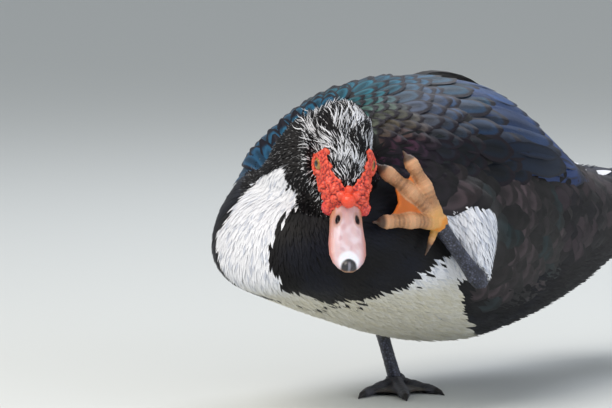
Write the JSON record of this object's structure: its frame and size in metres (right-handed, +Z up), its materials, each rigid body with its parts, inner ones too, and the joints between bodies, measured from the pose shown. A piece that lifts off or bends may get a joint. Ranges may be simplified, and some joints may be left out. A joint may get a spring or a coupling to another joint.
{
  "type": "muscovy duck",
  "caption": "Life-size standing muscovy duck that scratches its bent head with a raised webbed foot, with red face caruncles, crest, folded wings and fanned tail.",
  "frame": {"origin": "on the floor under the middle toe of the standing right foot", "axes": "+Z up, -Y the way the bird's body faces, +X its left"},
  "size_m": [0.1999, 0.5702, 0.2342],
  "materials": {
    "body_plumage": "satin black feathers with white patches on breast and belly",
    "pied_plumage": "matte black and white feathers",
    "wing_plumage": "glossy green and blue black feathers",
    "caruncle_skin": "moist bare skin",
    "bill_horn": "satin horn",
    "eye": "wet gloss",
    "leg_skin": "scaled satin skin",
    "web_skin": "soft webbed skin"
  },
  "bodies": {
    "root": {"torso": "body_plumage", "neck": "body_plumage", "head": "pied_plumage", "caruncles": "caruncle_skin", "bill_upper": "bill_horn", "bill_lower": "bill_horn", "eye_left": "eye", "eye_right": "eye", "wing_left": "wing_plumage", "wing_right": "wing_plumage", "tail": "body_plumage", "thigh_left": "body_plumage", "tarsus_left": "leg_skin", "foot_left": "web_skin", "tarsus_right": "leg_skin", "foot_right": "leg_skin"}
  },
  "joints": []
}
